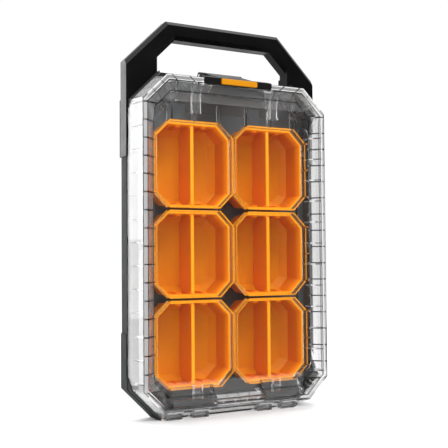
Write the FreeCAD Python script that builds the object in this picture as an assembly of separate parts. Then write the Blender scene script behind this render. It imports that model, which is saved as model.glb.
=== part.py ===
import FreeCAD, Part
import math
import os

# Parts organizer with a clear lid, six lift-out bins and a carry handle, standing on its hinge edge.
# X is the width, Y runs from the lid (minus) to the back (plus), Z is up from the standing surface.

os.makedirs("parts", exist_ok=True)
Vec = FreeCAD.Vector

# Depths, from the front of the latch pull to the back of the base
pull_proud = 4.0
lid_depth = 35.0
band_depth = 19.0
boss_depth = 10.6
recess_depth = 11.0
stack_clear = 1.0
rim_setback = 22.0

# Case outline: an octagon with forty-five degree corners
case_half = 131.3
case_height = 414.5
case_corner = 38.0
side_wall = 6.6
rail_height = 11.5
shelf_thick = 2.5
floor_thick = 2.2
foot_rim_width = 7.0
foot_rim_height = 0.8
bumper_proud = 1.2
lower_seam = 102.0
upper_seam = 311.0
guard_rise = 9.5
guard_slant = 12.0
guard_thick = 3.1
guard_swing = 1.6
parting_gap = 0.3
shadow_deep = 2.2
shadow_wide = 2.6

# Lid
lid_thick = 2.4
lip_half = 125.8
lip_low = 12.0
lip_high = 405.0
lip_corner_low = 27.0
lip_corner_high = 31.0
lip_width = 6.2
recess_round = 16.0
foot_half = 108.4
foot_low = 31.0
foot_high = 377.0
ledge_share = 0.45
gusset_thick = 1.5
gusset_pitch = 27.0
gusset_x = (53.0, 80.0)
gusset_reach = 40.0
fin_thick = 1.4
fin_height = 2.2
fin_pitch = 20.8
fin_margin = 30.0
fin_reach = 10.0
top_fins = (3, 4)
rib_thick = 1.6
rib_clear = 0.3
tab_wide = 12.0
tab_tall_high = 20.0
tab_tall_low = 16.0
tab_height = 4.5
tab_room = 0.8
tab_pocket_deep = 5.0
tab_pocket_wall = 1.6
tab_x = 54.0
tab_inset = -6.0

# Bins and dividers
bin_wide = 103.0
bin_tall = 104.5
bin_corner = 18.0
bin_gap_x = 3.0
bin_gap_z = 2.7
bin_wall = 1.6
bin_draft = 1.5
flange_width = 4.0
flange_thick = 2.0
scoop_depth = 9.0
scoop_inset = 8.0
grid_centre = 195.0
divider_thick = 1.8
divider_clear = 0.2
divider_bead = 4.0
divider_bead_tall = 2.0
divider_drop = 0.6
guide_thick = 1.0
guide_proud = 1.2
guide_offset = 17.0
guide_start = 3.0
guide_past = 2.0
locate_tall = 3.6
locate_thick = 2.0
locate_half = 22.0
locate_clear = 0.6

# Carry handle
handle_thick = 18.5
handle_proud = 1.2
handle_top = 479.0
handle_shoulder = 53.0
post_inner = 92.5
finger_top = 457.0
finger_corner = 25.0
front_bevel = 4.6
inner_bevel = 5.0
bevel_depth = 4.0
arm_thick = 2.4
arm_clear = 0.1
flange_plate = 3.0
handle_wall = 3.2
handle_rib = 2.2
handle_rib_pitch = 30.0
handle_rib_pairs = 4
pad_inset = 8.0
pad_tall = 12.0
ring_clear = 0.6
screw_diameter = 4.0
screw_head = 7.6
screw_head_tall = 2.2
screw_boss = 9.0
screw_boss_tall = 11.0
screw_length = 11.0
screw_clear = 0.2
screw_sunk = 1.4
screw_slot_deep = 1.0
screw_slot_wide = 1.0
screw_first = 16.0
screw_pitch = 32.0

# Hinge
axis_height = 4.6
axis_ahead = 0.5
pin_diameter = 3.0
pin_clear = 0.06
barrel_radius = 4.2
barrel_room = 5.4
lid_barrel_room = 6.5
block_inner = 33.0
block_outer = 90.0
block_middle = 61.5
tab_half = 6.0
knuckle_gap = 0.5
pin_overrun = 6.5
pin_end_gap = 0.5
barrel_overrun = 3.5
knuckle_web = 14.0
block_low = 15.5
block_shoulder = 27.0
block_high = 40.0
block_setback = 0.3
groove_tall = 2.2
groove_deep = 1.4
bar_low = 21.4
bar_tall = 3.0
bar_web_pitch = 16.0
bar_webs = (-1.5, -0.5, 0.5, 1.5)
lid_foot_front = 13.5
lid_foot_back = 7.0
lid_foot_rise = 2.0
lid_foot_slope = 4.0

# Latch
latch_half = 46.5
latch_thick = 4.5
latch_clear = 0.5
latch_wing_depth = 9.0
latch_pivot_back = 5.0
latch_pivot_height = 4.8
latch_barrel_half = 23.5
latch_barrel_radius = 4.5
latch_pin_diameter = 4.0
latch_neck = 1.5
latch_corner = 6.0
latch_corner_out = 3.3
latch_corner_down = 2.4
lug_wide = 6.0
lug_gap = 0.4
hook_thick = 3.5
hook_drop = 8.0
hook_proud = 1.0
latch_front_top = 406.4
catch_gap = 0.4
pull_half = 24.5
pull_tall = 6.8
pull_tenon = 1.6
pull_round = 1.4
pull_chamfer = 0.5
bay_top_half = 34.5
bay_low_half = 46.0
bay_top_drop = 7.5
bay_step = 10.0
bay_step_rise = 4.0

# Seal
seal_wide = 2.2
seal_tall = 2.3
seal_wall = 3.6

# Stations along the depth
y_back = (pull_proud + lid_depth + band_depth + boss_depth) / 2
y_shelf = y_back - boss_depth
y_part = y_shelf - band_depth
y_lip = y_part - lid_depth
y_window = y_lip + recess_depth
y_rim = y_lip + rim_setback
y_tray_floor = y_back - foot_rim_height - floor_thick
y_guard = y_part - guard_rise
y_axis = y_part - axis_ahead
DIAGONAL = math.sqrt(2)
FAR = 1000.0
PAST = 1.0
SINK = 0.2
NUDGE = 0.01


def octagon(half, low, high, corner_low, corner_high):
    """Outline values of an octagon that is mirrored about X = 0."""
    return {"half": half, "low": low, "high": high, "corner_low": corner_low, "corner_high": corner_high}


def shrink(shape, side, low=None, high=None):
    """The octagon with its sides and corners moved inwards by side, its ends by low and high."""
    low = side if low is None else low
    high = side if high is None else high
    return octagon(shape["half"] - side, shape["low"] + low, shape["high"] - high,
                   shape["corner_low"] - side - low + DIAGONAL * side,
                   shape["corner_high"] - side - high + DIAGONAL * side)


def corners(shape):
    """The eight corner points (x, z), anticlockwise from the right end of the bottom edge."""
    half, low, high = shape["half"], shape["low"], shape["high"]
    cut_low, cut_high = shape["corner_low"], shape["corner_high"]
    right = [(half - cut_low, low), (half, low + cut_low), (half, high - cut_high), (half - cut_high, high)]
    return right + [(-x, z) for x, z in reversed(right)]


def moved(shape_points, dx, dz):
    return [(x + dx, z + dz) for x, z in shape_points]


def wire_at(points, y):
    """A closed straight-sided wire through (x, z) points in the plane Y = y."""
    vectors = [Vec(x, y, z) for x, z in points]
    return Part.makePolygon(vectors + [vectors[0]])


def rounded_wire(points, radius, y):
    """A closed wire through (x, z) points in the plane Y = y, each corner an arc of the given radius."""
    edges = []
    starts, ends, middles = [], [], []
    count = len(points)
    for i, (x, z) in enumerate(points):
        here = Vec(x, y, z)
        back = Vec(points[i - 1][0], y, points[i - 1][1]) - here
        ahead = Vec(points[(i + 1) % count][0], y, points[(i + 1) % count][1]) - here
        back.normalize()
        ahead.normalize()
        turn = math.acos(max(-1.0, min(1.0, back.dot(ahead))))
        run = radius / math.tan(turn / 2)
        middle = back + ahead
        middle.normalize()
        centre = here + middle * (radius / math.sin(turn / 2))
        starts.append(here + back * run)
        ends.append(here + ahead * run)
        middles.append(centre - middle * radius)
    for i in range(count):
        edges.append(Part.Arc(starts[i], middles[i], ends[i]).toShape())
        edges.append(Part.LineSegment(ends[i], starts[(i + 1) % count]).toShape())
    return Part.Wire(edges)


def plate(points, y0, y1):
    """A slab with the (x, z) outline from Y = y0 to Y = y1."""
    return Part.Face(wire_at(points, y0)).extrude(Vec(0, y1 - y0, 0))


def loft(points0, y0, points1, y1):
    """A ruled solid between two straight-sided outlines."""
    return Part.makeLoft([wire_at(points0, y0), wire_at(points1, y1)], True, True)


def beam(profile, x0, x1):
    """A bar along X whose section is a closed list of (y, z) points."""
    vectors = [Vec(x0, y, z) for y, z in profile]
    return Part.Face(Part.makePolygon(vectors + [vectors[0]])).extrude(Vec(x1 - x0, 0, 0))


def block(x0, x1, y0, y1, z0, z1):
    return Part.makeBox(x1 - x0, y1 - y0, z1 - z0, Vec(x0, y0, z0))


def rod_x(radius, x0, x1, y, z):
    return Part.makeCylinder(radius, x1 - x0, Vec(x0, y, z), Vec(1, 0, 0))


def rod_y(radius, x, z, y0, y1):
    return Part.makeCylinder(radius, y1 - y0, Vec(x, y0, z), Vec(0, 1, 0))


def both_sides(make):
    """The right-hand solids that make() returns, with their mirror images about X = 0."""
    solids = make()
    return solids + [solid.mirror(Vec(0, 0, 0), Vec(1, 0, 0)) for solid in solids]


def export(shape, name):
    shape.exportStep("parts/" + name + ".step")


# Outlines shared by the base, the lid and the handle
band = octagon(case_half, 0.0, case_height, case_corner, case_corner)
lip = octagon(lip_half, lip_low, lip_high, lip_corner_low, lip_corner_high)
lip_inner = shrink(lip, lip_width)
foot = octagon(foot_half, foot_low, foot_high,
               lip_inner["corner_low"], lip_inner["corner_high"])
boss_root = shrink(lip_inner, stack_clear)
boss_tip = shrink(foot, stack_clear)
seal_outer = shrink(band, seal_wall, rail_height - seal_wide)
cavity_band = shrink(band, side_wall, rail_height)

# Places along the hinge where the lid and the base take turns
lid_knuckles = [(block_inner + knuckle_gap, block_middle - tab_half - knuckle_gap),
                (block_middle + tab_half + knuckle_gap, block_outer - knuckle_gap)]
base_barrels = [(0.0, block_inner - knuckle_gap), (block_middle - tab_half, block_middle + tab_half),
                (block_outer + knuckle_gap, block_outer + knuckle_gap + pin_overrun)]

# The latch seen from the side: a sloping plate from the pivot to the hook over the lid's front lip
latch_y = y_shelf - latch_pivot_back
latch_z = case_height + latch_pivot_height
hook_front = y_lip - hook_proud
latch_rear_top = latch_z + latch_barrel_radius
latch_slope = (latch_rear_top - latch_front_top) / (latch_y - hook_front)
plate_drop = latch_thick * math.hypot(1, latch_slope)


def latch_top(y):
    return latch_front_top + (y - hook_front) * latch_slope


def latch_channel(grow):
    """The groove that the latch plate lies in, in the lid's top wall and the rim of the base."""
    under = plate_drop + latch_clear + grow
    front = y_lip - FAR
    grooves = []
    for half, rear in ((latch_half, hook_front + latch_wing_depth + latch_clear + grow),
                       (latch_barrel_half, y_shelf + FAR)):
        wide = half + latch_clear + grow
        profile = [(front, latch_top(front) - under), (rear, latch_top(rear) - under),
                   (rear, latch_top(rear) + FAR), (front, latch_top(rear) + FAR)]
        grooves.append(beam(profile, -wide, wide))
    return grooves[0].fuse(grooves[1])


def hook_pocket(grow):
    """The room in the lid's front lip for the turned-down end of the latch."""
    wide = latch_half + latch_clear + grow
    rear = hook_front + hook_thick + catch_gap + grow
    low = latch_front_top - hook_drop - latch_clear - grow
    return block(-wide, wide, y_lip - FAR, rear, low, case_height + FAR)


def latch_bay(grow):
    """The finger bay below the hook, open to the window recess and wider at its foot."""
    top = lip_high - bay_top_drop + grow
    low = foot_high - grow
    points = [(-bay_low_half - grow, low), (bay_low_half + grow, low),
              (bay_top_half + grow, top), (-bay_top_half - grow, top)]
    whole = plate(points, y_lip - FAR, y_window + grow)
    step = block(-FAR, FAR, y_window - bay_step_rise + grow, FAR, foot_high + bay_step + grow, FAR)
    return whole.cut(step)


def corner_guards(grow_low, grow_high, thick):
    """Base walls that stand further forward at the four corners, each easing back along the side."""
    solids = []
    for grow, flip in ((grow_low, False), (grow_high, True)):
        front = y_guard - grow
        ring = plate(corners(shrink(band, -grow)), front, y_part + grow)
        ring = ring.cut(plate(corners(shrink(band, thick)), front, y_part + grow))
        profile = [(y_part + grow, -FAR), (front, -FAR), (front, case_corner + grow),
                   (y_part - grow, case_corner + guard_slant + grow),
                   (y_part + grow, case_corner + guard_slant + grow)]
        if flip:
            profile = [(y, case_height - z) for y, z in profile]
        reach = case_half - case_corner - grow
        solids += [ring.common(beam(profile, reach, FAR)), ring.common(beam(profile, -FAR, -reach))]
    return solids


def screw_places():
    """Where the handle is screwed to the shelf at the back of the base, right-hand side (x, z)."""
    side_x = (case_half + boss_root["half"]) / 2
    slant = case_corner / 2
    return [(side_x, upper_seam + screw_first), (side_x, upper_seam + screw_first + screw_pitch),
            (side_x - slant, case_height - slant - (case_half - side_x))]


# Base tray: the shallow moulded shell that everything else is carried by
def make_base():
    tray = plate(corners(band), y_part, y_shelf)
    bumper = shrink(band, -bumper_proud, 0.0, 0.0)
    tray = tray.fuse(plate(corners(bumper), y_part, y_shelf).common(
        block(-FAR, FAR, -FAR, FAR, 0.0, lower_seam)))
    tray = tray.fuse(loft(corners(boss_root), y_shelf, corners(boss_tip), y_back))
    tray = tray.fuse(corner_guards(0.0, 0.0, guard_thick))
    hollow = plate(corners(cavity_band), y_part - FAR, y_shelf - shelf_thick)
    inner_root = shrink(boss_root, floor_thick)
    inner_tip = shrink(boss_tip, floor_thick)
    hollow = hollow.fuse(plate(corners(inner_root), y_shelf - 2 * shelf_thick, y_shelf))
    hollow = hollow.fuse(loft(corners(inner_root), y_shelf, corners(inner_tip), y_tray_floor))
    hollow = hollow.fuse(plate(corners(seal_outer), y_guard, y_part + seal_tall))
    panel = shrink(boss_tip, foot_rim_width)
    hollow = hollow.fuse(plate(corners(panel), y_back - foot_rim_height, y_back + PAST))
    tray = tray.cut(hollow)
    # Walled pockets in the back for the stacking stops of another lid
    outside = loft(corners(boss_root), y_shelf, corners(boss_tip), y_back - foot_rim_height)
    tray = tray.fuse([wall.common(outside) for wall in tab_pockets(tab_pocket_wall)])
    tray = tray.cut(tab_pockets(0.0))
    # A groove under the lid's edge along both sides
    side_low = case_corner + guard_slant
    tray = tray.cut(both_sides(lambda: [block(case_half - shadow_deep, FAR, y_part - PAST,
                                              y_part + shadow_wide, side_low, case_height - side_low)]))
    # The handle's arms lie in shallow pockets down the upper sides
    arm_pocket = case_half + handle_proud - arm_thick - arm_clear
    tray = tray.cut(both_sides(lambda: [block(arm_pocket, FAR, y_part - FAR, y_shelf + PAST,
                                              upper_seam - arm_clear, case_height)]))
    # Hollow posts for the handle's screws
    posts, holes = [], []
    for x, z in [(s * x, z) for x, z in screw_places() for s in (1, -1)]:
        posts.append(rod_y(screw_boss / 2, x, z, y_shelf - screw_boss_tall, y_shelf - shelf_thick))
        holes.append(rod_y(screw_diameter / 2, x, z, y_shelf - screw_length, y_shelf + PAST))
    tray = tray.fuse(posts)
    tray = tray.cut(holes)
    # Low ribs on the floor round the feet of the bins
    taper = scoop_inset * (scoop_depth - locate_tall) / scoop_depth
    inset = flange_width - bin_wall + bin_draft + taper - locate_clear
    span_x = bin_wide + bin_gap_x / 2 - inset
    span_z = 1.5 * bin_tall + bin_gap_z - inset
    front, rear = y_tray_floor - locate_tall, y_tray_floor + SINK
    ribs = []
    for side in (1, -1):
        x0, x1 = sorted((side * span_x, side * (span_x + locate_thick)))
        for row in (-1, 0, 1):
            z = grid_centre + row * (bin_tall + bin_gap_z)
            ribs.append(block(x0, x1, front, rear, z - locate_half, z + locate_half))
        z0, z1 = sorted((grid_centre + side * span_z, grid_centre + side * (span_z + locate_thick)))
        for column in (-0.5, 0.5):
            x = column * (bin_wide + bin_gap_x)
            ribs.append(block(x - locate_half, x + locate_half, front, rear, z0, z1))
    tray = tray.fuse(ribs)
    # Latch groove in the upper rim, with the two lugs that hold the latch pin
    tray = tray.cut(latch_channel(0.0).common(block(-FAR, FAR, -FAR, y_shelf + PAST, 0.0, FAR)))
    lug_start = latch_barrel_half + lug_gap

    def lugs():
        upright = block(lug_start, lug_start + lug_wide, latch_y - latch_barrel_radius,
                        latch_y + latch_barrel_radius, case_height - side_wall, latch_z)
        return [upright.fuse(rod_x(latch_barrel_radius, lug_start, lug_start + lug_wide, latch_y, latch_z))]

    tray = tray.fuse(both_sides(lugs))
    tray = tray.cut(rod_x(latch_pin_diameter / 2 + pin_clear, -FAR, FAR, latch_y, latch_z))
    # Hinge rail: barrels for the pins, and rounded pockets that the lid's knuckles turn in
    barrels, pockets = [], []
    for x0, x1 in base_barrels:
        for s in (1, -1):
            a, b = sorted((s * x0, s * x1))
            barrels.append(rod_x(barrel_radius, a, b, y_axis, axis_height))
    for x0, x1 in lid_knuckles:
        for s in (1, -1):
            a, b = sorted((s * (x0 - knuckle_gap), s * (x1 + knuckle_gap)))
            pockets.append(rod_x(barrel_room, a, b, y_axis, axis_height))
    tray = tray.cut(pockets).fuse(barrels)
    tray = tray.cut(hinge_bores())
    return tray.removeSplitter()


def hinge_bores():
    reach = block_outer + knuckle_gap + pin_overrun
    start = block_inner - knuckle_gap - pin_overrun
    radius = pin_diameter / 2 + pin_clear
    return both_sides(lambda: [rod_x(radius, start, reach, y_axis, axis_height)])


# Lid: one clear moulding with a deep rim, a recessed window and stiffening ribs on both faces
def recess_solid(grow):
    """The window recess, which falls from the lip over a small ledge; grow makes it larger all round."""
    y_ledge = y_lip + recess_depth * ledge_share
    top = shrink(lip_inner, -grow)
    half_way = octagon(*[lip_inner[key] + (foot[key] - lip_inner[key]) * ledge_share
                         for key in ("half", "low", "high", "corner_low", "corner_high")])
    ledge = shrink(half_way, -grow)
    base_line = shrink(foot, -grow)
    wires = [rounded_wire(corners(top), recess_round, y_lip),
             rounded_wire(corners(ledge), recess_round, y_ledge + grow),
             rounded_wire(corners(base_line), recess_round, y_window + grow)]
    solid = Part.makeLoft(wires[:2], True, True).fuse(Part.makeLoft(wires[1:], True, True))
    mouth = Part.Face(rounded_wire(corners(top), recess_round, y_lip)).extrude(Vec(0, -FAR, 0))
    return solid.fuse(mouth)


def hinge_blocks(grow):
    """The two raised blocks that cover the hinge knuckles, inside the window recess."""
    solids = []
    for s in (1, -1):
        x0, x1 = sorted((s * block_inner, s * block_outer))
        front = y_lip + block_setback + grow
        rear = y_window + lid_thick
        profile = [(front, block_low + grow), (front, block_shoulder - grow / 2),
                   (y_window + grow, block_high - grow / 2), (rear, block_high - grow / 2),
                   (rear, block_low + grow)]
        solids.append(beam(profile, x0 + grow, x1 - grow))
    return solids


def lid_cavity():
    """The hollow inside the lid, one wall thickness in from its outer faces."""
    rim = shrink(octagon(case_half - parting_gap, parting_gap, case_height - parting_gap,
                         case_corner, case_corner), lid_thick)
    inner_lip = shrink(lip, lid_thick)
    hollow = loft(corners(rim), y_part + parting_gap, corners(inner_lip), y_lip + lid_thick)
    hollow = hollow.fuse(plate(corners(rim), y_part + parting_gap, y_part + FAR))
    hollow = hollow.cut(recess_solid(lid_thick).cut(hinge_blocks(lid_thick)))
    return hollow.cut([latch_bay(lid_thick), latch_channel(lid_thick), hook_pocket(lid_thick)])


def lid_gussets(hollow):
    """Thin webs between the lid's outer wall and its recess, square to each side and corner."""
    middle = shrink(foot, -PAST)
    room = hollow.common(block(-FAR, FAR, y_lip, y_guard - 2 * parting_gap, 0.0, FAR))
    room = room.cut(plate(corners(middle), y_lip, y_part))
    slabs = []
    half_count = int((case_height - 2 * case_corner) / 2 / gusset_pitch)
    centre = (lip_low + lip_high) / 2
    for i in range(-half_count, half_count + 1):
        z = centre + i * gusset_pitch
        slabs.append(block(-FAR, FAR, y_lip, y_part, z - gusset_thick / 2, z + gusset_thick / 2))
    for x in [s * x for x in gusset_x for s in (1, -1)]:
        slabs.append(block(x - gusset_thick / 2, x + gusset_thick / 2, y_lip, y_part, foot_high, FAR))
    for low in (True, False):
        z_corner = lip_low + lip_corner_low / 2 if low else lip_high - lip_corner_high / 2
        for s in (1, -1):
            x_corner = s * (lip_half - lip_corner_low / 2)
            slab = block(-gusset_reach, gusset_reach, y_lip, y_part, -gusset_thick / 2, gusset_thick / 2)
            slab.rotate(Vec(0, 0, 0), Vec(0, 1, 0), 45.0 if low == (s > 0) else -45.0)
            slab.translate(Vec(x_corner, 0, z_corner))
            slabs.append(slab)
    return [room.common(slab) for slab in slabs]


def lid_fins():
    """Low fins that run down the recess wall from the lip to the window."""
    inner = shrink(lip_inner, fin_height)
    inner_foot = shrink(foot, fin_height)
    core = loft(corners(inner), y_lip, corners(inner_foot), y_window)
    shell = loft(corners(lip_inner), y_lip, corners(foot), y_window).cut(core)
    shell = shell.cut([latch_bay(0.0), hook_pocket(0.0), latch_channel(0.0)])
    shell = shell.common(recess_solid(SINK))
    fins = []
    half_count = int(((foot_high - foot_low) / 2 - fin_margin) / fin_pitch)
    centre = (foot_low + foot_high) / 2
    for i in range(-half_count, half_count + 1):
        z = centre + i * fin_pitch
        fins.append(shell.common(block(-FAR, FAR, y_lip, y_window, z - fin_thick / 2, z + fin_thick / 2)))
    for i in top_fins:
        for s in (1, -1):
            x = s * i * fin_pitch
            fins.append(shell.common(block(x - fin_thick / 2, x + fin_thick / 2, y_lip, y_window,
                                           foot_high - fin_reach, FAR)))
    return fins


def bin_outline(extra):
    return octagon(bin_wide / 2 - extra, -bin_tall / 2 + extra, bin_tall / 2 - extra,
                   bin_corner - extra * (2 - DIAGONAL), bin_corner - extra * (2 - DIAGONAL))


def bin_places():
    """Centres (x, z) of the six bins, from the top left to the bottom right."""
    places = []
    for row in (1, 0, -1):
        for column in (-0.5, 0.5):
            places.append((column * (bin_wide + bin_gap_x), grid_centre + row * (bin_tall + bin_gap_z)))
    return places


def window_ribs():
    """Octagonal walls under the window that close each bin, with short ribs out to the recess wall."""
    y0, y1 = y_window + lid_thick - SINK, y_rim - rib_clear
    rings = []
    reach_low, reach_high = foot_low + PAST, foot_high - PAST
    for x, z in bin_places():
        outer = plate(moved(corners(bin_outline(0.0)), x, z), y0, y1)
        rings.append(outer.cut(plate(moved(corners(bin_outline(rib_thick)), x, z), y0, y1)))
    edge = bin_wide / 2 - bin_corner
    top = grid_centre + 1.5 * bin_tall + bin_gap_z - rib_thick / 2
    side = bin_wide + bin_gap_x / 2 - rib_thick / 2
    for x, z in bin_places()[:2]:
        for dx in (-edge, 0.0, edge):
            rings.append(block(x + dx - rib_thick / 2, x + dx + rib_thick / 2, y0, y1, top, reach_high))
    for row in (1, 0, -1):
        z = grid_centre + row * (bin_tall + bin_gap_z)
        for dz in (-bin_tall / 2 + bin_corner, 0.0, bin_tall / 2 - bin_corner):
            for s in (1, -1):
                a, b = sorted((s * side, s * (foot_half - SINK)))
                rings.append(block(a, b, y0, y1, z + dz - rib_thick / 2, z + dz + rib_thick / 2))
    return [ring.common(block(-FAR, FAR, y0, y1, reach_low, reach_high)) for ring in rings]


def tab_places():
    """The four stacking stops as (x0, x1, z0, z1, side, up); up is the way from the stop to the middle."""
    places = []
    for side in (1, -1):
        x0, x1 = sorted((side * (tab_x - tab_wide / 2), side * (tab_x + tab_wide / 2)))
        places.append((x0, x1, foot_high - tab_inset - tab_tall_high, foot_high - tab_inset, side, -1))
        places.append((x0, x1, foot_low + tab_inset, foot_low + tab_inset + tab_tall_low, side, 1))
    return places


def stacking_tabs():
    """Small angle-shaped stops on the window that enter pockets in the back of the next case."""
    tabs = []
    for x0, x1, z0, z1, side, up in tab_places():
        whole = block(x0, x1, y_window - tab_height, y_window + SINK, z0, z1)
        notch_x = (x0 + lid_thick, FAR) if side > 0 else (-FAR, x1 - lid_thick)
        notch_z = (z0 + lid_thick, FAR) if up < 0 else (-FAR, z1 - lid_thick)
        tabs.append(whole.cut(block(*notch_x, y_window - FAR, y_window - lid_thick, *notch_z)))
    return tabs


def tab_pockets(grow):
    """Room in the back of the base for another lid's stacking stops, made larger by grow."""
    room = tab_room + grow
    return [block(x0 - room, x1 + room, y_back - tab_pocket_deep - grow, y_back + FAR, z0 - room, z1 + room)
            for x0, x1, z0, z1, side, up in tab_places()]


def make_lid():
    rim = octagon(case_half - parting_gap, parting_gap, case_height - parting_gap, case_corner, case_corner)
    shell = loft(corners(rim), y_part - parting_gap, corners(lip), y_lip)
    shell = shell.cut(recess_solid(0.0).cut(hinge_blocks(0.0)))
    shell = shell.cut([latch_bay(0.0), latch_channel(0.0), hook_pocket(0.0)])
    hollow = lid_cavity()
    shell = shell.cut(hollow)
    shell = shell.fuse(lid_gussets(hollow) + lid_fins() + window_ribs() + stacking_tabs())
    # A bar between the two hinge blocks, tied to the recess wall by short webs
    front = y_lip + block_setback
    bars = [block(-block_inner - lid_thick, block_inner + lid_thick, front, y_window,
                  bar_low, bar_low + bar_tall)]
    for i in bar_webs:
        x = i * bar_web_pitch
        bars.append(block(x - rib_thick / 2, x + rib_thick / 2, front, y_window,
                          lip_low + lip_width, bar_low))
    shell = shell.fuse([bar.cut(hollow) for bar in bars])
    # A groove under the front of each hinge block, bridged by a tab at its middle
    for s in (1, -1):
        for x0, x1 in ((block_inner, block_middle - tab_half), (block_middle + tab_half, block_outer)):
            a, b = sorted((s * x0, s * x1))
            shell = shell.cut(block(a, b, y_lip - PAST, y_lip + groove_deep,
                                    block_low - groove_tall, block_low))
    # Room round the hinge, then the knuckles and the feet under the blocks
    reach = block_outer + knuckle_gap + pin_overrun + barrel_overrun
    shell = shell.cut(rod_x(lid_barrel_room, -reach, reach, y_axis, axis_height))
    shell = shell.cut(corner_guards(guard_swing, parting_gap, 2 * guard_thick))
    knuckles = []
    for x0, x1 in lid_knuckles:
        for s in (1, -1):
            a, b = sorted((s * x0, s * x1))
            web = block(a, b, y_axis - knuckle_web, y_axis, axis_height, axis_height + barrel_radius)
            foot_block = beam([(y_axis - lid_foot_back, 0.0),
                               (y_axis - lid_foot_back, axis_height + lid_foot_rise),
                               (y_axis - lid_foot_front - lid_foot_slope, lip_low),
                               (y_axis - lid_foot_front, 0.0)], a, b)
            knuckles += [web, foot_block, rod_x(barrel_radius, a, b, y_axis, axis_height)]
    shell = shell.fuse(knuckles)
    shell = shell.cut(hinge_bores())
    return shell.removeSplitter()


# Lid seal: a rubber strip in the rabbet round the mouth of the base
def make_seal():
    outer = plate(corners(seal_outer), y_part, y_part + seal_tall)
    return outer.cut(plate(corners(shrink(seal_outer, seal_wide)), y_part - PAST, FAR))


# Bins: tapered octagonal cups with a flat flange, a scooped floor and slots for a divider
def bin_hollow(y_top, scoop_start, y_floor, extra):
    rim = bin_outline(extra)
    deep = bin_outline(extra + bin_draft)
    scoop = bin_outline(extra + bin_draft + scoop_inset)
    upper = loft(corners(rim), y_top, corners(deep), scoop_start)
    return upper.fuse(loft(corners(deep), scoop_start, corners(scoop), y_floor))


def make_bin():
    """One bin about X = 0, Z = 0."""
    scoop_start = y_tray_floor - scoop_depth
    flange = plate(corners(bin_outline(0.0)), y_rim, y_rim + flange_thick)
    skirt = loft(corners(bin_outline(0.0)), y_rim + flange_thick,
                 corners(bin_outline(flange_width - bin_wall)), y_rim + 2 * flange_thick)
    body = bin_hollow(y_rim, scoop_start, y_tray_floor, flange_width - bin_wall)
    body = body.fuse([flange, skirt])
    hollow = bin_hollow(y_rim - NUDGE, scoop_start - bin_wall / 2, y_tray_floor - bin_wall, flange_width)
    guides = []
    slot = divider_thick / 2 + divider_clear
    end = bin_tall / 2 - flange_width + SINK
    for x in (-guide_offset, 0.0, guide_offset):
        for a, b in ((-slot - guide_thick, -slot), (slot, slot + guide_thick)):
            for s in (1, -1):
                z0, z1 = sorted((s * (end - bin_draft - guide_proud), s * end))
                guide = block(x + a, x + b, y_rim + guide_start, scoop_start + guide_past, z0, z1)
                guides.append(guide.common(hollow))
    return body.cut(hollow).fuse(guides).removeSplitter()


def make_divider():
    """One divider about X = 0, Z = 0: a plate with a beaded top edge, shaped to the bin's hollow."""
    scoop_start = y_tray_floor - scoop_depth
    extra = flange_width + divider_clear
    hollow = bin_hollow(y_rim - NUDGE, scoop_start - bin_wall / 2 - divider_clear,
                        y_tray_floor - bin_wall - divider_clear, extra)
    top = y_rim + divider_drop
    leaf = block(-divider_thick / 2, divider_thick / 2, top, y_tray_floor, -bin_tall, bin_tall)
    bead_end = bin_tall / 2 - extra - bin_draft
    bead = block(-divider_bead / 2, divider_bead / 2, top, top + divider_bead_tall, -bead_end, bead_end)
    return leaf.fuse(bead).common(hollow).removeSplitter()


# Carry handle: an arched grip whose arms and back flanges wrap the upper corners of the base
def arch_outline(half, top, corner, grow=0.0):
    """An arch with slanted shoulders; grow moves the top and the shoulders out and leaves the posts."""
    top = top + grow
    corner = corner - grow * (DIAGONAL - 1)
    right = [(half, 0.0), (half, top - corner), (half - corner, top)]
    return right + [(-x, z) for x, z in reversed(right)]


def outer_arch(grow=0.0):
    return arch_outline(case_half + handle_proud, handle_top, handle_shoulder, grow)


def inner_arch(grow=0.0):
    return arch_outline(post_inner, finger_top, finger_corner, grow)


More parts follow.
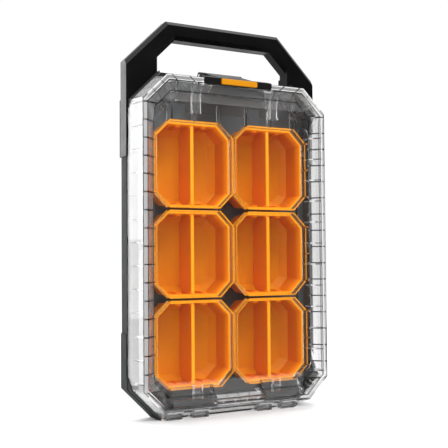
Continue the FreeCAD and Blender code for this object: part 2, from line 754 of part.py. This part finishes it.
def make_handle():
    y0, y1 = y_part, y_part + handle_thick
    y_bevel = y0 + bevel_depth
    arch = loft(outer_arch(-front_bevel), y0, outer_arch(), y_bevel).fuse(plate(outer_arch(), y_bevel, y1))
    arch = arch.cut([plate(inner_arch(), y0 - PAST, y1 + PAST),
                     loft(inner_arch(inner_bevel), y0, inner_arch(), y_bevel)])
    shoulder = handle_top - handle_shoulder
    # The back of the grip is cored out between cross ribs
    core_outer = [(x - math.copysign(handle_wall, x), z - handle_wall * (z > shoulder))
                  for x, z in outer_arch()]
    core_inner = [(x + math.copysign(handle_wall, x), z + handle_wall * (z > finger_top - PAST))
                  for x, z in inner_arch()]
    core = plate(core_outer, y_bevel + handle_wall, y1 + PAST)
    core = core.cut(plate(core_inner, y0, y1 + 2 * PAST))
    core = core.common(block(-FAR, FAR, -FAR, FAR, case_height + handle_wall, FAR))
    ribs = []
    for i in range(-handle_rib_pairs, handle_rib_pairs + 1):
        x = i * handle_rib_pitch
        ribs.append(block(x - handle_rib / 2, x + handle_rib / 2, y0, y1 + 2 * PAST, 0.0, FAR))
    ribs.append(block(-FAR, FAR, y0, y1 + 2 * PAST, shoulder - handle_rib, shoulder))
    arch = arch.cut(core.cut(ribs))
    # Below the rim of the base only the arms along its sides remain
    base_room = plate(corners(shrink(band, -arm_clear)), y0 - PAST, y1 + PAST)
    pocket_face = case_half + handle_proud - arm_thick
    lower = block(-pocket_face, pocket_face, -FAR, FAR, -FAR, case_height - case_corner + arm_thick)
    arch = arch.cut([base_room.cut(both_sides(lambda: [block(
        pocket_face, FAR, -FAR, FAR, upper_seam, case_height)])), lower])
    arch = arch.cut(block(-FAR, FAR, -FAR, FAR, -FAR, upper_seam + arm_clear))
    # Flanges on the back, screwed to the shelf of the base
    half = case_half + handle_proud
    back_outline = octagon(half, 0.0, case_height + handle_wall, case_corner, case_corner)
    ring = plate(corners(back_outline), y_shelf, y_shelf + flange_plate)
    ring = ring.cut(plate(corners(shrink(boss_root, -ring_clear)), y_shelf - PAST, y_shelf + FAR))
    ring = ring.common(block(-FAR, FAR, -FAR, FAR, upper_seam + arm_clear, FAR))
    ring = ring.cut(block(-post_inner + PAST, post_inner - PAST, -FAR, FAR, -FAR, FAR))
    arch = arch.fuse(ring)
    foot_pad = both_sides(lambda: [block(post_inner, case_half - pad_inset, y1 - SINK, y_shelf + flange_plate,
                                         case_height + arm_clear, case_height + pad_tall)])
    arch = arch.fuse(foot_pad)
    holes = []
    for x, z in [(s * x, z) for x, z in screw_places() for s in (1, -1)]:
        holes.append(rod_y(screw_diameter / 2 + screw_clear, x, z, y_shelf - PAST, y_shelf + FAR))
        holes.append(rod_y(screw_head / 2 + screw_clear, x, z, y_shelf + flange_plate - screw_sunk, FAR))
    return arch.cut(holes).removeSplitter()


def make_screws():
    screws = []
    seat = y_shelf + flange_plate - screw_sunk
    for x, z in [(s * x, z) for x, z in screw_places() for s in (1, -1)]:
        shank = rod_y(screw_diameter / 2, x, z, seat - screw_length, seat)
        head = rod_y(screw_head / 2, x, z, seat, seat + screw_head_tall)
        slot = block(x - screw_head, x + screw_head, seat + screw_head_tall - screw_slot_deep, FAR,
                     z - screw_slot_wide / 2, z + screw_slot_wide / 2)
        screws.append(shank.fuse(head).cut(slot))
    return Part.Compound(screws)


# Hinge pins: two steel rods, each through one hinge block
def make_hinge_pin(side):
    start = block_inner - knuckle_gap - pin_overrun + pin_end_gap
    end = block_outer + knuckle_gap + pin_overrun - pin_end_gap
    a, b = sorted((side * start, side * end))
    return rod_x(pin_diameter / 2, a, b, y_axis, axis_height)


# Latch lever: a sloping plate on a barrel, with a hook over the lid and a pocket for the pull
def make_latch():
    rear = latch_y - latch_barrel_radius - latch_neck
    front = hook_front
    wing = hook_front + latch_wing_depth
    sheet = beam([(front, latch_top(front)), (front, latch_top(front) - plate_drop),
                  (wing, latch_top(wing) - plate_drop), (wing, latch_top(wing))], -latch_half, latch_half)
    arm = wing - PAST
    sheet = sheet.fuse(beam([(arm, latch_top(arm)), (arm, latch_top(arm) - plate_drop),
                             (rear, latch_top(rear) - plate_drop), (rear, latch_top(rear))],
                            -latch_barrel_half, latch_barrel_half))
    neck_start = rear - PAST
    neck = beam([(neck_start, latch_top(neck_start)), (neck_start, latch_top(neck_start) - plate_drop),
                 (latch_y, latch_z - PAST), (latch_y, latch_rear_top)], -latch_barrel_half, latch_barrel_half)
    hook = block(-latch_half, latch_half, hook_front, hook_front + hook_thick,
                 latch_front_top - hook_drop, latch_front_top - PAST)
    lever = sheet.fuse([neck, hook, rod_x(latch_barrel_radius, -latch_barrel_half, latch_barrel_half,
                                          latch_y, latch_z)])
    for s in (1, -1):
        cutter = block(-latch_corner, latch_corner, -FAR, FAR, -latch_corner, latch_corner)
        cutter.rotate(Vec(0, 0, 0), Vec(0, 1, 0), 45.0)
        cutter.translate(Vec(s * (latch_half + latch_corner_out), 0,
                             latch_front_top - hook_drop - latch_corner_down))
        lever = lever.cut(cutter)
    lever = lever.cut(pull_body(pull_tenon, hook_front + pull_tenon, 0.0))
    return lever.cut(rod_x(latch_pin_diameter / 2 + pin_clear, -FAR, FAR, latch_y, latch_z)).removeSplitter()


def pull_body(inset, y_rear, front):
    """The pull's outline from the plane front back to y_rear, made smaller by inset."""
    z_mid = latch_front_top - hook_drop / 2
    tall = pull_tall / 2 - inset / 2
    wide = pull_half - inset
    points = [(-wide, z_mid - tall), (wide, z_mid - tall), (wide, z_mid + tall), (-wide, z_mid + tall)]
    y_front = hook_front - front
    wire = rounded_wire(points, pull_round, y_front)
    return Part.Face(wire).extrude(Vec(0, y_rear - y_front, 0))


def make_pull():
    face = pull_body(0.0, hook_front, pull_proud - hook_proud)
    front_edges = [edge for edge in face.Edges if max(v.Point.y for v in edge.Vertexes) < hook_front - PAST]
    face = face.makeChamfer(pull_chamfer, front_edges)
    return face.fuse(pull_body(pull_tenon, hook_front + pull_tenon, 0.0)).removeSplitter()


def make_latch_pin():
    half = latch_barrel_half + lug_gap + lug_wide
    return rod_x(latch_pin_diameter / 2, -half, half, latch_y, latch_z)


export(make_base(), "base_tray")
export(make_handle(), "carry_handle")
export(make_screws(), "handle_screws")
export(make_seal(), "lid_seal")
export(make_lid(), "lid")
export(make_hinge_pin(-1), "hinge_pin_left")
export(make_hinge_pin(1), "hinge_pin_right")
export(make_latch(), "latch_lever")
export(make_pull(), "latch_pull")
export(make_latch_pin(), "latch_pin")
one_bin = make_bin()
one_divider = make_divider()
bin_names = ["top_left", "top_right", "middle_left", "middle_right", "bottom_left", "bottom_right"]
for place_name, (bin_x, bin_z) in zip(bin_names, bin_places()):
    export(one_bin.translated(Vec(bin_x, 0, bin_z)), "bin_" + place_name)
    export(one_divider.translated(Vec(bin_x, 0, bin_z)), "divider_" + place_name)
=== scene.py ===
import math
import bmesh
import bpy
from mathutils import Matrix, Vector

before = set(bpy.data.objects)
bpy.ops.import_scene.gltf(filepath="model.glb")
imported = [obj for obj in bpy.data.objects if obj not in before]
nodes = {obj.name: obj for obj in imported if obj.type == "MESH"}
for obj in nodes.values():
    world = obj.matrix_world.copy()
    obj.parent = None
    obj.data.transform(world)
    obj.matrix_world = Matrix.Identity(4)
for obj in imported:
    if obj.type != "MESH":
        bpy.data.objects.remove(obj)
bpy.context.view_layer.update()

# Base tray: the shallow shell that carries every other piece. It is injection moulded in dark grey
# polypropylene with a fine spark-eroded grain. It is one plastic painted in two greys: paler inside its
# rim, on faces that don't look back, as painted light, and darker outside, as painted shade.

base_half = 0.1313
base_high = 0.4145
base_corner = 0.038
base_rim = 0.0045
looks_back_from = 0.5


def tint(code):
    """A screen colour such as 3A3A3A as the linear colour that a shader takes."""
    parts = [int(code[i:i + 2], 16) / 255 for i in (0, 2, 4)]
    return tuple(p / 12.92 if p <= 0.04045 else ((p + 0.055) / 1.055) ** 2.4 for p in parts) + (1.0,)


def skin_of(material):
    """The main shader of a material."""
    return material.node_tree.nodes["Principled BSDF"]


def coordinates(material, kind):
    """A piece's own coordinates, kind Object, or the way its faces look, kind Normal, as a socket."""
    shaders = material.node_tree.nodes
    place = shaders.get("Texture Coordinate") or shaders.new("ShaderNodeTexCoord")
    return place.outputs[kind]


def along(axis, material, kind="Object"):
    """One axis of a material's coordinates as a socket."""
    tree = material.node_tree
    split = tree.nodes.new("ShaderNodeSeparateXYZ")
    tree.links.new(coordinates(material, kind), split.inputs["Vector"])
    return split.outputs[axis]


def speckle(material, scale, detail):
    """Noise that is fixed to the piece, as a socket from zero to one."""
    tree = material.node_tree
    noise = tree.nodes.new("ShaderNodeTexNoise")
    noise.inputs["Scale"].default_value = scale
    noise.inputs["Detail"].default_value = detail
    tree.links.new(coordinates(material, "Object"), noise.inputs["Vector"])
    return noise.outputs["Fac"]


def spread(value, low, high, first, last, way="LINEAR"):
    """A socket that runs from first to last while value runs from low to high."""
    tree = value.id_data
    ranged = tree.nodes.new("ShaderNodeMapRange")
    ranged.interpolation_type = way
    ranged.inputs["From Min"].default_value = low
    ranged.inputs["From Max"].default_value = high
    ranged.inputs["To Min"].default_value = first
    ranged.inputs["To Max"].default_value = last
    tree.links.new(value, ranged.inputs["Value"])
    return ranged.outputs["Result"]


def relief(material, height, strength, distance):
    """Small dents in a material's skin, from a height socket."""
    tree = material.node_tree
    bump = tree.nodes.new("ShaderNodeBump")
    bump.inputs["Strength"].default_value = strength
    bump.inputs["Distance"].default_value = distance
    tree.links.new(height, bump.inputs["Height"])
    tree.links.new(bump.outputs["Normal"], skin_of(material).inputs["Normal"])


def moulded(name, dark, light, rough, grain, shine=0.5):
    """A moulded skin: clouded between two close colours, uneven in gloss, with a fine grain.

    rough is the least and the most roughness, and grain the depth and the fineness of the pits.
    """
    material = bpy.data.materials.new(name)
    material.use_nodes = True
    tree = material.node_tree
    cloud = tree.nodes.new("ShaderNodeValToRGB")
    for end, position, code in zip(cloud.color_ramp.elements, (0.3, 0.72), (dark, light)):
        end.position = position
        end.color = tint(code)
    tree.links.new(speckle(material, scale=22.0, detail=5.0), cloud.inputs["Fac"])
    skin = skin_of(material)
    skin.inputs["Specular IOR Level"].default_value = shine
    tree.links.new(cloud.outputs["Color"], skin.inputs["Base Color"])
    least, most = rough
    gloss = spread(speckle(material, scale=60.0, detail=8.0), low=0.3, high=0.7, first=least, last=most)
    tree.links.new(gloss, skin.inputs["Roughness"])
    depth, fineness = grain
    relief(material, speckle(material, scale=fineness, detail=2.0), strength=depth, distance=0.0003)
    return material


def second_tone(material, where, code):
    """A second colour over the first, as far as the socket where goes from zero to one."""
    tree = material.node_tree
    colour = skin_of(material).inputs["Base Color"]
    mix = tree.nodes.new("ShaderNodeMix")
    mix.data_type = "RGBA"
    if colour.is_linked:
        tree.links.new(colour.links[0].from_socket, mix.inputs["A"])
    else:
        mix.inputs["A"].default_value = colour.default_value
    mix.inputs["B"].default_value = tint(code)
    tree.links.new(where, mix.inputs["Factor"])
    tree.links.new(mix.outputs["Result"], colour)


def worked(operation, *values):
    """A math node, worked on sockets of one shader tree and on plain numbers."""
    tree = next(value.id_data for value in values if not isinstance(value, (int, float)))
    node = tree.nodes.new("ShaderNodeMath")
    node.operation = operation
    for socket, value in zip(node.inputs, values):
        if isinstance(value, (int, float)):
            socket.default_value = value
        else:
            tree.links.new(value, socket)
    return node.outputs["Value"]


def inside_octagon(across, rise, half, low, high, corner_low, corner_high):
    """How far a place lies inside an upright outline with slanted corners; outside is below zero."""
    upper = worked("SUBTRACT", half + high - corner_high, worked("ADD", across, rise))
    lower = worked("SUBTRACT", worked("ADD", rise, half - low - corner_low), across)
    slant = math.sqrt(0.5)
    inward = worked("SUBTRACT", half, across)
    for side in (worked("SUBTRACT", rise, low), worked("SUBTRACT", high, rise),
                 worked("MULTIPLY", upper, slant), worked("MULTIPLY", lower, slant)):
        inward = worked("MINIMUM", inward, side)
    return inward


def dress(name, material):
    """Gives a piece its finish."""
    nodes[name].material_slots[0].material = material


base_grey = moulded("base grey", "2C2E2E", "323434", rough=(0.6, 0.74), grain=(0.16, 1500.0), shine=0.06)
across = worked("ABSOLUTE", along("X", base_grey))
inward = inside_octagon(across, along("Z", base_grey), base_half, 0.0, base_high, base_corner, base_corner)
inside_rim = worked("GREATER_THAN", inward, base_rim)
not_back = worked("LESS_THAN", along("Y", base_grey, "Normal"), looks_back_from)
# Painted light and shade: the same grey plastic, painted paler inside the rim where light falls.
second_tone(base_grey, worked("MULTIPLY", inside_rim, not_back), "626A6E")
dress("base_tray", base_grey)

# Lid seal: a soft strip of black rubber that keeps dust out of the closed case. It is extruded,
# cut to length and laid in the rabbet round the mouth of the base.

seal_rubber = moulded("seal rubber", "0C0C0C", "161616", rough=(0.62, 0.78), grain=(0.1, 900.0))
dress("lid_seal", seal_rubber)

# Bins: six thin tapered cups in glossy orange polypropylene that stand in the base and lift out.
# The plastic lets a little light through. Near the rims they are painted with a glow, painted light,
# and their upright walls are painted a deeper orange, painted shade.

rim_front = -0.0083
bin_edge = 0.0005
bin_places = ["top_left", "top_right", "middle_left", "middle_right", "bottom_left", "bottom_right"]


def eased_edges(name, radius, segments=2):
    """The moulded radius along a piece's sharp edges, worked on its merged faces."""
    weld = nodes[name].modifiers.new("merged", "WELD")
    weld.merge_threshold = 2e-6
    edge = nodes[name].modifiers.new("edge radius", "BEVEL")
    edge.width = radius
    edge.segments = segments
    edge.limit_method = "ANGLE"
    edge.angle_limit = math.radians(28)


def painted_rim_glow(material, reach, strength):
    """A painted glow, painted light: emission near the mouth of a bin that brightens its rim."""
    depth = along("Y", material)
    glow = spread(depth, rim_front, rim_front + reach, first=strength, last=0.0, way="SMOOTHSTEP")
    skin = skin_of(material)
    skin.inputs["Emission Color"].default_value = tint("FF9A14")
    material.node_tree.links.new(glow, skin.inputs["Emission Strength"])


def painted_wall_shade(material, code):
    """Painted shade: a deeper orange on faces that look neither to the front nor to the back."""
    level = worked("ABSOLUTE", along("Y", material, "Normal"))
    second_tone(material, spread(level, low=0.1, high=0.9, first=1.0, last=0.0), code)


bin_orange = moulded("bin orange", "F09A0A", "F8A40E", rough=(0.3, 0.4), grain=(0.05, 700.0), shine=0.32)
bin_skin = skin_of(bin_orange)
bin_skin.inputs["Subsurface Weight"].default_value = 0.05
bin_skin.inputs["Subsurface Radius"].default_value = (0.004, 0.0016, 0.0004)
bin_skin.inputs["Subsurface Scale"].default_value = 1.0
# Painted light: an orange emission glow near the rim.
painted_rim_glow(bin_orange, reach=0.014, strength=0.34)
# Painted shade: upright walls painted a deeper orange than the floors.
painted_wall_shade(bin_orange, "EA8206")
for place in bin_places:
    dress("bin_" + place, bin_orange)
    eased_edges("bin_" + place, bin_edge)

# Dividers: one upright leaf in each bin, moulded in the same orange polypropylene. A leaf slides
# into slots in the end walls of its bin. Its front edge is painted bright with a glow, painted light,
# and its upright faces are painted a deeper orange, painted shade.

divider_edge = 0.0004
divider_orange = moulded("divider orange", "F5A00C", "FCAA12", rough=(0.3, 0.4), grain=(0.05, 700.0))
painted_rim_glow(divider_orange, reach=0.006, strength=0.5)
painted_wall_shade(divider_orange, "F08808")
for place in bin_places:
    dress("divider_" + place, divider_orange)
    eased_edges("divider_" + place, divider_edge)

# Hinge pins and latch pin: plain rods of drawn steel with a dull shine. They are cut to length and
# pressed into the base, two along the lower edge for the lid and one at the top for the latch.

pin_steel = moulded("pin steel", "8E9092", "A8AAAC", rough=(0.24, 0.36), grain=(0.05, 1800.0))
skin_of(pin_steel).inputs["Metallic"].default_value = 1.0
for pin in ("hinge_pin_left", "hinge_pin_right", "latch_pin"):
    dress(pin, pin_steel)

# Lid: one clear moulding of polished polycarbonate that turns on the hinge pins. Its lip, corners,
# stacking stops, recess walls and the bars of its sill are painted milky white, painted light for the
# light that these forms catch and bend, and its lip's edges carry a painted highlight. The fins of its
# recess and the edges of its lip and window are painted as fine dark lines, painted shade.

# Below, painted light is the share of a form painted milky white instead of clear, half is half a
# form's width, and inset, foot and width are measured inwards from the lip's outer outline.

lid_edge = 0.0007
line_half = 0.0005

lip_half = 0.1258
lip_low = 0.012
lip_high = 0.405
lip_corner_low = 0.027
lip_corner_high = 0.031
lip_width = 0.0062
lip_side = lip_half - lip_width
lip_front = -0.0297
lip_shown_from = 0.021
lip_painted_light = 0.22
lip_side_painted_light = 0.12
glint_outer = 0.0011
glint_inner = 0.0052
glint_half = 0.0004
glint_painted_light = 0.4

fin_pitch = 0.0208
fin_middle = 0.204
fin_half = 0.0008
fin_from = 0.1
tick_half = 0.0009
tick_slope = 0.9

recess_foot = 0.0174
recess_low = 0.036
recess_high = 0.377
recess_painted_light = 0.045

corner_from = 0.0985
corner_to = 0.125
corner_low = 0.0125
corner_thick = 0.0025
corner_painted_light = 0.35
upper_corner_from = 0.2
upper_corner_painted_light = 0.22

stop_across = 0.054
stop_half = 0.0064
stop_inner_half = 0.0047
stop_inset = 0.0125
stop_front = -0.0221
stop_depth = 0.0022
stop_painted_light = 0.045
stop_edge_painted_light = 0.2

sill_half_wide = 0.0315
sill_middle = 0.0225
sill_half_tall = 0.0075
bar_low = 0.0165
bar_pitch = 0.0044
bar_half = 0.0008
bar_length = 0.015
bar_gap_half = 0.0006
bar_painted_light = 0.3


def over(value, limit):
    """One where value is more than limit, and zero elsewhere."""
    return worked("GREATER_THAN", value, limit)


def under(value, limit):
    """One where value is less than limit, and zero elsewhere."""
    return worked("LESS_THAN", value, limit)


def near(value, middle, reach):
    """One within reach of middle, and zero elsewhere."""
    return under(worked("ABSOLUTE", worked("SUBTRACT", value, middle)), reach)


def marks(value, start, pitch, reach):
    """One within reach of the lines that repeat every pitch from start, and zero elsewhere."""
    return under(worked("PINGPONG", worked("SUBTRACT", value, start), pitch / 2), reach)


def where_all(first, *others):
    """One where each of these is one."""
    for other in others:
        first = worked("MULTIPLY", first, other)
    return first


def where_any(first, *others):
    """One where at least one of these is one."""
    for other in others:
        first = worked("MAXIMUM", first, other)
    return first


def where_not(mask):
    """What a mask leaves of one: one where it is zero, and zero where it is one."""
    return worked("SUBTRACT", 1.0, mask)


def layered(layers):
    """The sum of masks, each times its own amount."""
    whole = 0.0
    for mask, amount in layers:
        whole = worked("ADD", worked("MULTIPLY", mask, amount), whole)
    return whole


lid_clear = bpy.data.materials.new("lid clear")
lid_clear.use_nodes = True
tree = lid_clear.node_tree
glass = skin_of(lid_clear)
glass.inputs["IOR"].default_value = 1.45
glass.inputs["Base Color"].default_value = tint("F4F4F4")
polish = spread(speckle(lid_clear, scale=40.0, detail=6.0), low=0.35, high=0.7, first=0.0, last=0.03)
tree.links.new(polish, glass.inputs["Roughness"])
relief(lid_clear, speckle(lid_clear, scale=14.0, detail=1.0), strength=0.08, distance=0.001)

aside = along("X", lid_clear)
depth = along("Y", lid_clear)
rise = along("Z", lid_clear)
across = worked("ABSOLUTE", aside)
inward = inside_octagon(across, rise, lip_half, lip_low, lip_high, lip_corner_low, lip_corner_high)
front = under(depth, lip_front)
upright = over(across, lip_side)
past_lip = over(inward, lip_width)
outer_edge = under(inward, glint_outer)
inner_edge = near(inward, glint_inner, glint_half)
short_of_side = worked("MINIMUM", worked("SUBTRACT", across, lip_side), 0.0)
along_lip = worked("SUBTRACT", rise, worked("MULTIPLY", short_of_side, tick_slope))
lip_ticks = marks(along_lip, fin_middle, fin_pitch, tick_half)
lip = where_all(front, where_not(past_lip), over(rise, lip_shown_from), where_not(lip_ticks))
# Painted highlight: a bright line along the lip's outer and inner edges, except on the upright sides.
painted_glint = where_all(lip, where_any(outer_edge, inner_edge), where_not(upright))
recess_side = where_any(under(inward, recess_foot), over(rise, recess_high))
recess_wall = where_all(past_lip, over(rise, recess_low), recess_side)
slanted = where_all(over(across, corner_from), under(across, corner_to))
corner_wall = where_all(slanted, under(inward, corner_thick), over(rise, corner_low), where_not(front))
from_stop = worked("ABSOLUTE", worked("SUBTRACT", across, stop_across))
stop_face = near(depth, stop_front, stop_depth)
stops = where_all(stop_face, under(from_stop, stop_half), over(inward, stop_inset))
sill = where_all(under(across, sill_half_wide), near(rise, sill_middle, sill_half_tall))
bar_gaps = marks(aside, 0.0, bar_length, bar_gap_half)
sill_bars = where_all(sill, marks(rise, bar_low, bar_pitch, bar_half), where_not(bar_gaps))
# Painted light: each form's share turns the clear glass milky white there.
painted_light = layered([
    (lip, lip_painted_light),
    (where_all(lip, upright), lip_side_painted_light),
    (painted_glint, glint_painted_light),
    (recess_wall, recess_painted_light),
    (corner_wall, corner_painted_light),
    (where_all(corner_wall, over(rise, upper_corner_from)), upper_corner_painted_light - corner_painted_light),
    (stops, stop_painted_light),
    (where_all(stops, over(from_stop, stop_inner_half)), stop_edge_painted_light),
    (sill_bars, bar_painted_light),
])
tree.links.new(where_not(painted_light), glass.inputs["Transmission Weight"])

# Painted shade: fine dark lines on the clear lid at its fins and at the edges of its lip and window.
painted_fin_lines = where_all(recess_wall, marks(rise, fin_middle, fin_pitch, fin_half), over(across, fin_from))
painted_side_line = where_all(front, upright, outer_edge)
painted_lip_line = near(inward, lip_width, line_half)
painted_foot_line = near(inward, recess_foot, line_half)
second_tone(lid_clear, where_any(painted_fin_lines, painted_side_line, painted_lip_line, painted_foot_line), "585858")

# Lamps shine straight through the lid, so that the bins under it are lit as under a clear moulding.

lamps = tree.nodes.new("ShaderNodeLightPath")
clear_to_lamps = tree.nodes.new("ShaderNodeBsdfTransparent")
clear_to_lamps.inputs["Color"].default_value = (0.92, 0.92, 0.92, 1.0)
surface = tree.nodes.new("ShaderNodeMixShader")
tree.links.new(lamps.outputs["Is Shadow Ray"], surface.inputs["Fac"])
tree.links.new(glass.outputs["BSDF"], surface.inputs[1])
tree.links.new(clear_to_lamps.outputs["BSDF"], surface.inputs[2])
tree.links.new(surface.outputs["Shader"], tree.nodes["Material Output"].inputs["Surface"])
dress("lid", lid_clear)
eased_edges("lid", lid_edge, segments=3)

# Latch lever: a black nylon plate with a barrel at its back end that turns on the latch pin. The
# bar at its front end hooks over the lid's lip and holds the case shut.

latch_edge = 0.0005
latch_black = moulded("latch black", "0C0C0C", "141414", rough=(0.34, 0.48), grain=(0.1, 1300.0),
                      shine=0.12)
dress("latch_lever", latch_black)
eased_edges("latch_lever", latch_edge)

# Latch pull: the bright orange finger piece in the middle of the latch's bar. It is moulded in
# polypropylene and set into the front of the lever.

pull_orange = moulded("pull orange", "BA7604", "C28208", rough=(0.3, 0.4), grain=(0.06, 900.0), shine=0.12)
dress("latch_pull", pull_orange)

# Carry handle: an arched grip in black glass-filled nylon, cored from behind, with two arms that
# are screwed to the base. Its faces that look up and to the front, along the chamfer of its upper
# front edge, are painted a dark grey lighter than the rest, a painted highlight.

handle_edge = 0.0007
looks_front_from = -0.5
looks_up_from = 0.3
handle_black = moulded("handle black", "060606", "0B0B0B", rough=(0.26, 0.38), grain=(0.1, 1200.0),
                       shine=0.07)
looks_front = under(along("Y", handle_black, "Normal"), looks_front_from)
looks_up = over(along("Z", handle_black, "Normal"), looks_up_from)
# Painted highlight: faces that look up and to the front are painted a lighter grey.
second_tone(handle_black, where_all(looks_front, looks_up), "2C2C2C")
dress("carry_handle", handle_black)
eased_edges("carry_handle", handle_edge)

# Handle screws: six steel screws with pan heads and a dull zinc plating. They go in from the back,
# through the handle's flanges and into posts of the base.

screw_zinc = moulded("screw zinc", "9A9C9C", "B4B6B4", rough=(0.28, 0.42), grain=(0.06, 1500.0))
skin_of(screw_zinc).inputs["Metallic"].default_value = 1.0
dress("handle_screws", screw_zinc)

# Floor: a wide sheet of matt white paper, laid flat, that the case stands on. It has a faint tooth
# and no gloss, so it takes only the soft shadow of the case.

floor_half = 6.0


def flat_sheet(name, half_wide, half_long, place, material):
    """A flat sheet of the studio, made level round the origin and then set by place."""
    mesh = bpy.data.meshes.new(name)
    shape = bmesh.new()
    size = Matrix.Diagonal((half_wide, half_long, 1.0, 1.0))
    bmesh.ops.create_grid(shape, x_segments=1, y_segments=1, size=1.0, matrix=place @ size)
    shape.to_mesh(mesh)
    shape.free()
    mesh.materials.append(material)
    sheet = bpy.data.objects.new(name, mesh)
    bpy.context.scene.collection.objects.link(sheet)
    return sheet


paper = moulded("paper", "D6D6D6", "DBDBDB", rough=(0.85, 0.95), grain=(0.02, 300.0), shine=0.1)
flat_sheet("floor", floor_half, floor_half, Matrix.Identity(4), paper)

# Flag: a card of dark grey felt that stands at the front as in a photo studio, so that the polished
# window doesn't mirror the white room. Only reflections meet it: it isn't seen and shades nothing.

flag_middle = (0.2, -0.29, 0.31)
flag_half_wide = 0.28
flag_half_tall = 0.31
felt = moulded("felt", "5E5E5E", "666666", rough=(0.9, 0.98), grain=(0.05, 400.0), shine=0.0)
on_end = Matrix.Translation(flag_middle) @ Matrix.Rotation(math.radians(90), 4, "X")
flag = flat_sheet("flag", flag_half_wide, flag_half_tall, on_end, felt)
flag.visible_camera = False
flag.visible_diffuse = False
flag.visible_shadow = False

# Studio light: a pale surround, large soft lamps above and to the left of the front, a wide soft
# light overhead, and a narrow soft strip behind the left side that the lid's wall mirrors. The strip
# has three lengths, each with its lower end, upper end and power, and is dimmer towards the floor.

case_middle = (0.0, 0.0, 0.22)
strip_across = -0.265
strip_back = 0.245
strip_aim = -0.13
strip_wide = 0.16
strip_lengths = [(0.0, 0.1, 0.15), (0.1, 0.22, 0.24), (0.22, 0.74, 1.4)]


def soft_lamp(name, place, aim, wide, tall, power):
    """A rectangular soft lamp at place, facing aim."""
    data = bpy.data.lights.new(name, "AREA")
    data.shape = "RECTANGLE"
    data.size = wide
    data.size_y = tall
    data.energy = power
    lamp = bpy.data.objects.new(name, data)
    lamp.location = place
    lamp.rotation_euler = (Vector(aim) - Vector(place)).to_track_quat("-Z", "Y").to_euler()
    lamp.visible_camera = False
    bpy.context.scene.collection.objects.link(lamp)


surround = bpy.data.worlds.new("surround")
surround.use_nodes = True
sky = surround.node_tree.nodes["Background"]
sky.inputs["Color"].default_value = (1.0, 1.0, 1.0, 1.0)
sky.inputs["Strength"].default_value = 1.02
bpy.context.scene.world = surround
soft_lamp("front_top_lamp", (0.35, -1.0, 1.9), case_middle, wide=1.0, tall=1.0, power=27.0)
soft_lamp("front_left_lamp", (-0.85, -1.5, 0.8), case_middle, wide=0.8, tall=0.8, power=4.0)
for low, high, power in strip_lengths:
    level = (low + high) / 2
    strip_place = (strip_across, strip_back, level)
    soft_lamp("back_left_lamp", strip_place, (strip_aim, 0.0, level), strip_wide, high - low, power)
overhead = bpy.data.lights.new("overhead", "SUN")
overhead.energy = 1.9
overhead.angle = math.radians(50)
overhead_lamp = bpy.data.objects.new("overhead", overhead)
overhead_lamp.rotation_euler = (math.radians(-22), math.radians(8), 0.0)
bpy.context.scene.collection.objects.link(overhead_lamp)
bpy.context.scene.view_settings.view_transform = "Standard"

# Camera: a short telephoto, low and to the left of the front, at the photograph's angle. Its place,
# turn and focal length were fitted to the corners of the six bin rims.

eye_place = (-0.4734, -0.8799, 0.1873)
eye_yaw = math.radians(-28.0)
eye_pitch = math.radians(2.58)
eye_roll = math.radians(0.46)
picture_pixels = 448
focal_pixels = 804.5
eye_data = bpy.data.cameras.new("eye")
eye_data.sensor_width = 36.0
eye_data.lens = focal_pixels / picture_pixels * eye_data.sensor_width
eye = bpy.data.objects.new("eye", eye_data)
tilt = Matrix.Rotation(eye_pitch, 3, "X") @ Matrix.Rotation(eye_roll, 3, "Y")
turn = Matrix.Rotation(eye_yaw, 3, "Z") @ tilt
right, forward, up = turn.col
eye_turn = Matrix((right, up, -forward)).transposed().to_4x4()
eye.matrix_world = Matrix.Translation(eye_place) @ eye_turn
bpy.context.scene.collection.objects.link(eye)
bpy.context.scene.camera = eye
